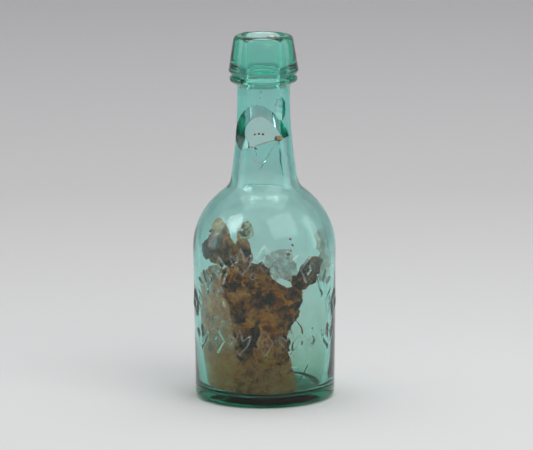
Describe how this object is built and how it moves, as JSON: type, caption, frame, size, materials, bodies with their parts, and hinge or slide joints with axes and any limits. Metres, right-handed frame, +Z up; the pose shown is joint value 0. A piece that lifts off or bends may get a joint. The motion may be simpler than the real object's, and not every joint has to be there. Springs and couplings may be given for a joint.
{
  "type": "glass soda bottle",
  "caption": "Old squat bottle of thick aqua glass with an applied lip, a broken neck and soil caked inside.",
  "frame": {"origin": "centre of the base, on the plane that the bottle stands on", "axes": "+Z up along the bottle's axis, -Y out of the front, where the ornament and the break in the neck are"},
  "size_m": [0.071, 0.0717, 0.181],
  "materials": {
    "aqua_glass": "thick hand-blown aqua glass, gently wavy, with seed bubbles",
    "silt": "thin film of dried olive silt, matt",
    "soil": "caked dark brown soil, rough and matt",
    "rust": "powdery orange rust",
    "fibre": "dry reddish rootlet"
  },
  "bodies": {
    "root": {"bottle_body": "aqua_glass", "applied_lip": "aqua_glass", "silt_film": "silt", "soil_crust": "soil", "rust_streak": "rust", "right_crust": "soil", "left_clod": "soil", "middle_clod": "soil", "upper_stain": "silt", "right_stain": "silt", "floor_silt": "silt", "rust_specks": "rust", "root_fibre": "fibre"}
  },
  "joints": []
}
